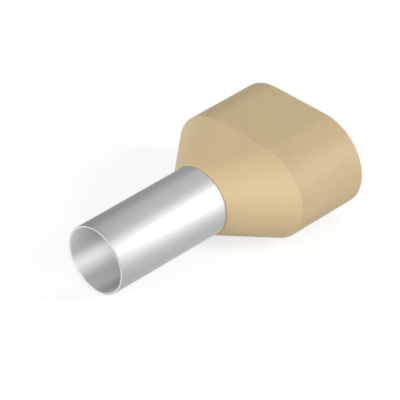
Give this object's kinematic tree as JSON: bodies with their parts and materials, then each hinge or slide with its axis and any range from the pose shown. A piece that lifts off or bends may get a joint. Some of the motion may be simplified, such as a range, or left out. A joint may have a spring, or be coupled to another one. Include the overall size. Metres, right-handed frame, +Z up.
{
  "type": "twin wire ferrule",
  "caption": "Crimp sleeve for two stripped conductors: thin round metal tube with a moulded plastic collar that widens from round to a flattened-round wire entry.",
  "frame": {"origin": "on the sleeve's axis in the plane of the collar's nose, where the bare pin starts", "axes": "+X along the sleeve's axis towards the wire entry, +Z up through the collar's thin height, Y across the two wires"},
  "size_m": [0.0267, 0.016, 0.0096],
  "materials": {
    "tinned_copper": "smooth satin tin plating",
    "collar_plastic": "fine matt moulded, ivory beige"
  },
  "bodies": {
    "root": {"sleeve": "tinned_copper", "collar": "collar_plastic"}
  },
  "joints": []
}
